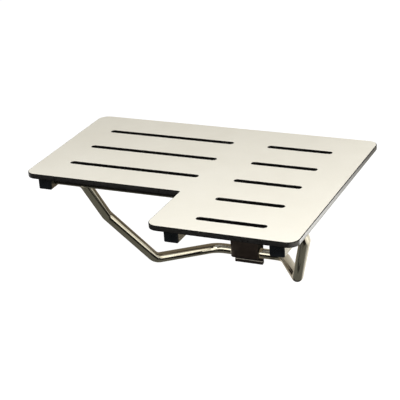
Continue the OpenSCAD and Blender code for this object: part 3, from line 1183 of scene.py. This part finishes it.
@dataclass
class Brace:
    """Bent round brace and the cross tubes that carry it."""

    palette: Palette
    radius: float = 12.7 * MM
    sides: int = 40
    bend: float = 38.0 * MM
    bend_steps: int = 24
    axle: Point = (0.0, -373.5 * MM, 31.0 * MM)
    half_path: tuple[Point, ...] = (
        (248.0 * MM, -373.5 * MM, 31.0 * MM),
        (245.0 * MM, -288.0 * MM, -88.0 * MM),
        (183.0 * MM, -178.0 * MM, -244.0 * MM),
        (90.0 * MM, -20.15 * MM, -276.0 * MM),
    )
    sleeves: tuple[tuple[str, float, float], ...] = (
        ("cross_sleeve_left", -313.2 * MM, 45.2 * MM),
        ("cross_sleeve_right", 80.8 * MM, 275.2 * MM),
    )
    sleeve_round: float = 0.5 * MM
    weld: float = 2.2 * MM
    weld_toe: float = 0.5
    weld_root: float = 0.6
    weld_swell: float = 1.06
    weld_end: float = 0.8 * MM
    weld_taper: float = 0.9
    grain_front: Point = (0.0, 1.0, 0.3)

    def path(self) -> list[Vector]:
        """Returns the corner points from the left arm's top to the right arm's."""
        left = [Vector((-x, y, z)) for x, y, z in self.half_path]
        return left + [Vector(p) for p in reversed(self.half_path)]

    def cope(self, work: Workpiece, loop: Sequence[Edge]) -> None:
        """Fits an end loop to the cross tube and swells it to a weld.

        Args:
            work: The tube being shaped.
            loop: The end's edges, two radii short of the axle.
        """
        verts = verts_of(loop)
        faces = [f for v in verts for f in v.link_faces]
        middle = sum((v.co for v in verts), Vector()) / len(verts)
        inward = sum((f.calc_center_median() for f in faces), Vector()) / len(faces)
        ahead = (middle - inward).normalized()
        up = ahead.cross(Vector((1, 0, 0))).normalized()
        centre = Vector((middle.x, self.axle[1], self.axle[2]))
        for vert in verts:
            offset = (vert.co - centre).dot(up)
            depth = math.sqrt(max(self.radius**2 - offset**2, 0.0))
            reach = (centre - vert.co).dot(ahead) - depth
            vert.co += ahead * (reach - self.weld)
        before = set(work.bm.faces)
        for part in (self.weld_toe, self.weld_root):
            loop = work.pull(loop, ahead * self.weld * part, self.weld_swell)
        work.close(work.pull(loop, ahead * self.weld_end, self.weld_taper))
        for face in set(work.bm.faces) - before:
            face.material_index = 1

    def mark_run(self, piece: bpy.types.Object) -> None:
        """Writes where each vertex lies along and round the tube, for its grain.

        Args:
            piece: The tube.
        """
        points = self.path()
        legs: list[tuple[Vector, Vector, float]] = []
        run = 0.0
        for a, b in zip(points, points[1:], strict=False):
            legs.append((a, b - a, run))
            run += (b - a).length
        values = []
        for vert in piece.data.vertices:
            feet = []
            for start, leg, so_far in legs:
                share = min(max((vert.co - start).dot(leg) / leg.length_squared, 0), 1)
                out = vert.co - start - leg * share
                feet.append((out, leg, so_far + share * leg.length))
            out, leg, along = min(feet, key=lambda foot: foot[0].length)
            side = leg.cross(Vector(self.grain_front)).normalized()
            up = side.cross(leg).normalized()
            values += [out.dot(side), along, out.dot(up)]
        layer = piece.data.attributes.new("run", "FLOAT_VECTOR", "POINT")
        layer.data.foreach_set("vector", values)

    def build(self) -> None:
        """Builds the brace and its cross tubes."""
        p = self.palette
        points = self.path()
        back_off = 2 * self.radius
        points[0] += (points[1] - points[0]).normalized() * back_off
        points[-1] += (points[-2] - points[-1]).normalized() * back_off
        work = Workpiece("brace_tube_bent")
        turn = (points[1] - points[0]).to_track_quat("Z", "Y").to_matrix().to_4x4()
        place = Matrix.Translation(points[0]) @ turn
        loop = work.ring(self.radius, self.sides, place)
        last = work.sweep(loop, points, self.bend, self.bend_steps)
        self.cope(work, loop)
        self.cope(work, last)
        work.outward()
        tube = work.finish("brace_tube", Body.BRACE, Slot.STEEL, p.tube, p.weld)
        self.mark_run(tube)
        _, y, z = self.axle
        for node, start, end in self.sleeves:
            work = Workpiece(node + "_round")
            rims = work.rod((start, y, z), end - start, self.radius)
            work.round_off(rims, self.sleeve_round)
            work.finish(node, Body.BRACE, Slot.STEEL, p.steel_x)


@dataclass
class WallGuide:
    """Dark guide: the shoe bent over the brace's bar, and the stop under its track."""

    palette: Palette
    middle_x: float = -9.5 * MM
    bar_y: float = -20.15 * MM
    bar_z: float = -276.0 * MM
    gap: float = 28.5 * MM
    plate: float = 2.5 * MM
    width: float = 71.0 * MM
    front: float = 11.0 * MM
    back: float = 28.0 * MM
    rise: float = 45.0 * MM
    bend_steps: int = 16
    shoe_round: float = 0.5 * MM
    shoe_round_steps: int = 3
    stop_low: Point = (-46.75 * MM, -10.5 * MM, -313.8 * MM)
    stop_high: Point = (27.75 * MM, -3.0 * MM, -304.3 * MM)
    # Width of the stop's top front edge, which carries the painted highlight
    highlight_round: float = 1.5 * MM
    stop_round: float = 0.8 * MM
    # Least slope of the faces that carry the painted highlight
    highlight_slope: float = 0.3

    def shoe(self) -> None:
        """Builds the shoe: a plate swept up, over the bar and down again."""
        work = Workpiece("guide_shoe_bent")
        middle = (self.gap + self.plate) / 2
        crown = self.bar_z + self.rise - self.plate / 2
        front_y, back_y = self.bar_y - middle, self.bar_y + middle
        x = self.middle_x
        path = (
            (x, front_y, self.bar_z - self.front),
            (x, front_y, crown),
            (x, back_y, crown),
            (x, back_y, self.bar_z - self.back),
        )
        stretch = Matrix.Diagonal((self.width, self.plate, 1.0, 1.0))
        place = Matrix.Translation(path[0]) @ stretch @ turned(45, Axis.Z)
        loop = work.ring(math.sqrt(0.5), 4, place)
        last = work.sweep(loop, path, middle, self.bend_steps)
        work.close(loop)
        work.close(last)
        work.outward()
        corners = work.edges_at(CORNER_ANGLE)
        work.round_off(corners, self.shoe_round, self.shoe_round_steps)
        work.finish("guide_shoe", Body.SHOE, Slot.GUIDE, self.palette.guide)

    def stop(self) -> None:
        """Builds the stop at the track's foot, with a painted highlight: a pale colour
        on its top front edge.
        """
        p = self.palette
        work = Workpiece("track_stop_round")
        work.box(self.stop_low, self.stop_high)
        _, y, z = (Vector(self.stop_low) + Vector(self.stop_high)) / 2
        edges = work.bm.edges
        highlit = [e for e in edges if all(v.co.y < y and v.co.z > z for v in e.verts)]
        work.round_off(highlit, self.highlight_round)
        work.outward()
        work.round_off(work.edges_at(CORNER_ANGLE), self.stop_round)
        work.bm.normal_update()
        # Faces of the top front edge take the pale colour: a painted highlight
        for face in work.bm.faces:
            _, y, z = face.normal
            highlit = y < -self.highlight_slope and z > self.highlight_slope
            face.material_index = 1 if highlit else 0
        work.finish("track_stop", Body.WALL, Slot.GUIDE, p.guide, p.painted_highlight)

    def build(self) -> None:
        """Builds the whole guide."""
        self.shoe()
        self.stop()


@dataclass(frozen=True)
class Softbox:
    """One soft studio lamp."""

    name: str
    place: Point
    aim: Point
    size: float
    watts: float

    def hang(self) -> None:
        """Hangs the lamp in the scene."""
        data = bpy.data.lights.new(self.name, "AREA")
        data.shape = "SQUARE"
        data.size = self.size
        data.energy = self.watts
        lamp = put_in_scene(self.name, data)
        lamp.location = self.place
        look = Vector(self.aim) - Vector(self.place)
        lamp.rotation_euler = look.to_track_quat("-Z", "Y").to_euler()


@dataclass(frozen=True)
class Card:
    """Plain studio card that glows and shows only as a reflection in glossy surfaces: a
    painted reflection, which lights nothing and casts no shadow.

    Along its axis, its glow runs from one tone and strength to the other between two
    ends. The slant is how far a floor card's far side stands to the right.
    """

    name: str
    corner: Point
    size: Point
    tones: tuple[Colour, Colour]
    strengths: tuple[float, float] = (1.0, 1.0)
    ends: tuple[float, float] = (0.0, 1.0)
    axis: Axis = Axis.X
    slant: float = 0.0

    def material(self) -> Material:
        """Makes the card's glow.

        Returns:
            The glow, as a material.
        """
        material = bpy.data.materials.new(self.name + "_card")
        material.use_nodes = True
        tree = material.node_tree
        tree.nodes.remove(tree.nodes["Principled BSDF"])
        place = add_node(tree, "TexCoord").outputs["Object"]
        run = add_node(tree, "SeparateXYZ", Vector=place).outputs[self.axis.value]
        low, high = self.ends
        part = add_node(tree, "MapRange", Value=run, From_Min=low, From_Max=high)
        share = part.outputs[0]
        low, high = self.strengths
        level = add_node(tree, "MapRange", Value=share, To_Min=low, To_Max=high)
        colour = add_ramp(tree, share, self.tones)
        glow = add_node(tree, "Emission", Color=colour, Strength=level.outputs[0])
        set_inputs(tree.nodes["Material Output"], Surface=glow.outputs[0])
        return material

    def hang(self) -> None:
        """Hangs the card in the scene."""
        work = Workpiece(self.name + "_card")
        x, y, z = self.size
        sides = ((x, 0, 0), (self.slant, y, 0), (0, 0, z))
        a, b = (Vector(side) for side in sides if any(side))
        bmesh.ops.create_grid(work.bm, x_segments=1, y_segments=1, size=0.5)
        frame = Matrix((a, b, a.cross(b).normalized())).transposed().to_4x4()
        work.place(Matrix.Translation(Vector(self.corner) + (a + b) / 2) @ frame)
        card = work.stand(self.material())
        card.visible_camera = False
        card.visible_diffuse = False
        card.visible_transmission = False
        card.visible_shadow = False


LAMPS = (
    Softbox("key", (1.0, -1.5, 1.5), (0.2, -0.4, 0.0), 0.9, 33.0),
    Softbox("fill", (-1.6, -1.6, 0.9), (0.05, -0.3, 0.05), 1.2, 5.0),
)

# Height of the floor cards, depth of the wall cards, and slant of the floor's light
FLOOR, WALL, SLANT = -0.44, 0.03, -0.246
# Tones at a card's two ends
BLACK = ((0.010, 0.009, 0.008),) * 2
OLIVE = ((0.190, 0.186, 0.155),) * 2
BROWN = ((0.30, 0.25, 0.18),) * 2
CREAM = ((1.0, 0.96, 0.85),) * 2
PALE = ((1.0, 0.99, 0.96),) * 2
WARM = (BROWN[0], CREAM[0])
DUSK = (BLACK[0], OLIVE[0])

WALL_CARDS = tuple(
    Card(name, (-1.2, WALL, low), (2.4, 0, rise), WARM, strengths, ends)
    for name, low, rise, strengths, ends in (
        ("low_wall", FLOOR, 0.24, (1.0, 1.35), (-0.1, 0.3)),
        ("middle_wall", -0.2, 0.18, (0.8, 2.8), (0.15, 0.55)),
        ("high_wall", -0.02, 0.3, (0.9, 2.4), (0.15, 0.7)),
    )
)
# Each card paints a reflection: the bright ones painted highlights, the dark ones
# painted shade, in the metal and at the board's edges
CARDS = (
    *WALL_CARDS,
    Card("floor_under", (-1.2, -0.42, FLOOR), (1.645, 0.45, 0), OLIVE, slant=SLANT),
    Card("floor_near", (0, -0.12, FLOOR + 3 * MM), (0.19, 0.14, 0), BLACK),
    Card("floor_far", (0.03, -0.46, FLOOR + 3 * MM), (0.31, 0.21, 0), BLACK),
    Card(
        "floor_light",
        (0.445, -0.42, FLOOR),
        (0.8, 0.45, 0),
        CREAM,
        strengths=(0.6, 2.4),
        ends=(0.31, 0.56),
        slant=SLANT,
    ),
    Card("floor_front", (-1.8, -2.3, FLOOR), (2.6, 1.88, 0), BLACK),
    Card("low_front", (-0.6, -0.2, FLOOR), (0.77, 0, 0.105), BLACK),
    Card("low_side", (-0.06, -0.42, -0.345), (0, 0.35, 0.075), BLACK),
    Card(
        "horizon",
        (-2.4, -2.35, FLOOR),
        (3.8, 0, 0.32),
        DUSK,
        ends=(-0.44, -0.12),
        axis=Axis.Z,
    ),
    Card(
        "strip",
        (-2.4, -2.4, -0.12),
        (3.8, 0, 1.32),
        CREAM,
        strengths=(3.3, 2.1),
        ends=(-0.12, 1.2),
        axis=Axis.Z,
    ),
    Card(
        "right",
        (1.3, -2.4, FLOOR),
        (0, 2.43, 0.75),
        CREAM,
        strengths=(3.2, 2.6),
        ends=(-0.44, 0.31),
        axis=Axis.Z,
    ),
    Card(
        "edge",
        (0.4, -0.5, -0.03),
        (0, 0.53, 0.13),
        PALE,
        strengths=(8, 0.8),
        ends=(-0.45, 0),
        axis=Axis.Y,
    ),
    Card("middle_tube", (0.12, -0.52, -0.05), (0, 0.12, 0.06), BROWN, (0.7, 0.7)),
    Card("bar_side", (-0.047, -0.045, -0.294), (0, 0.045, 0.032), CREAM, (3, 3)),
    Card("link_side", (0.028, -0.036, -0.305), (0, 0.036, 0.06), BROWN, (0.9, 0.9)),
)


@dataclass
class Studio:
    """Pale floor, soft lamps, white surroundings, cards and the camera."""

    floor_z: float = -0.46
    floor_size: float = 14.0
    floor_grey: float = 0.45
    floor_glow: float = 0.82
    ambient: float = 0.46
    camera_place: Point = (1.1574, -2.7532, 1.1676)
    azimuth: float = 25.194
    elevation: float = 23.577
    roll: float = -3.871
    lens: float = 119.118
    sensor: float = 36.0
    clip_end: float = 50.0

    def white_seen(self, tree: Tree) -> Socket:
        """Adds a switch for rays that see the background.

        Args:
            tree: The node tree to add to.

        Returns:
            1 for camera, glossy and transmission rays, 0 for others.
        """
        rays = add_node(tree, "LightPath").outputs
        seen = rays["Is Camera Ray"]
        for kind in ("Is Glossy Ray", "Is Transmission Ray"):
            most = add_node(tree, "Math")
            most.operation = "MAXIMUM"
            tree.links.new(seen, most.inputs[0])
            tree.links.new(rays[kind], most.inputs[1])
            seen = most.outputs[0]
        return seen

    def world(self) -> None:
        """Sets soft white surroundings, pure white where they are seen."""
        world = bpy.data.worlds.new("surroundings")
        world.use_nodes = True
        tree = world.node_tree
        seen = self.white_seen(tree)
        level = add_node(tree, "MapRange", Value=seen, To_Min=self.ambient).outputs[0]
        white = (*WHITE, 1.0)
        set_inputs(tree.nodes["Background"], Color=white, Strength=level)
        bpy.context.scene.world = world

    def floor(self) -> None:
        """Lays the pale floor, which keeps the object's shadow."""
        work = Workpiece("floor")
        half = self.floor_size / 2
        bmesh.ops.create_grid(work.bm, x_segments=2, y_segments=2, size=half)
        work.place(Matrix.Translation((0, 0, self.floor_z)))
        paper = Recipe("floor_paper")
        seen = self.white_seen(paper.tree)
        glow = add_node(paper.tree, "MapRange", Value=seen, To_Max=self.floor_glow)
        grey = self.floor_grey
        paper.feed(
            Base_Color=(grey, grey, grey, 1.0),
            Roughness=1.0,
            Specular_IOR_Level=0.0,
            Emission_Color=(*WHITE, 1.0),
            Emission_Strength=glow.outputs[0],
        )
        work.stand(paper.material)

    def camera(self) -> None:
        """Sets up the camera at the photograph's angle."""
        data = bpy.data.cameras.new("camera")
        data.lens = self.lens
        data.sensor_width = self.sensor
        data.sensor_fit = "HORIZONTAL"
        data.clip_end = self.clip_end
        camera = put_in_scene("camera", data)
        aim = turned(self.azimuth, Axis.Z) @ turned(90 - self.elevation, Axis.X)
        place = Matrix.Translation(self.camera_place)
        camera.matrix_world = place @ aim @ turned(self.roll, Axis.Z)
        bpy.context.scene.camera = camera

    def set_up(self) -> None:
        """Sets up the whole studio."""
        self.camera()
        self.world()
        self.floor()
        for item in LAMPS + CARDS:
            item.hang()
        bpy.context.scene.view_settings.view_transform = "Standard"


def main() -> None:
    """Builds the seat's looks over its frame."""
    logging.basicConfig(level=logging.INFO, format="%(name)s: %(message)s")
    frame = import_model()
    Studio().set_up()
    palette = Palette()
    for kind in (SeatBoard, TubeFrame, WallHinges, Brace, WallGuide):
        kind(palette).build()
    Dresser(palette, frame["nodes"]).build()


if __name__ == "__main__":
    main()
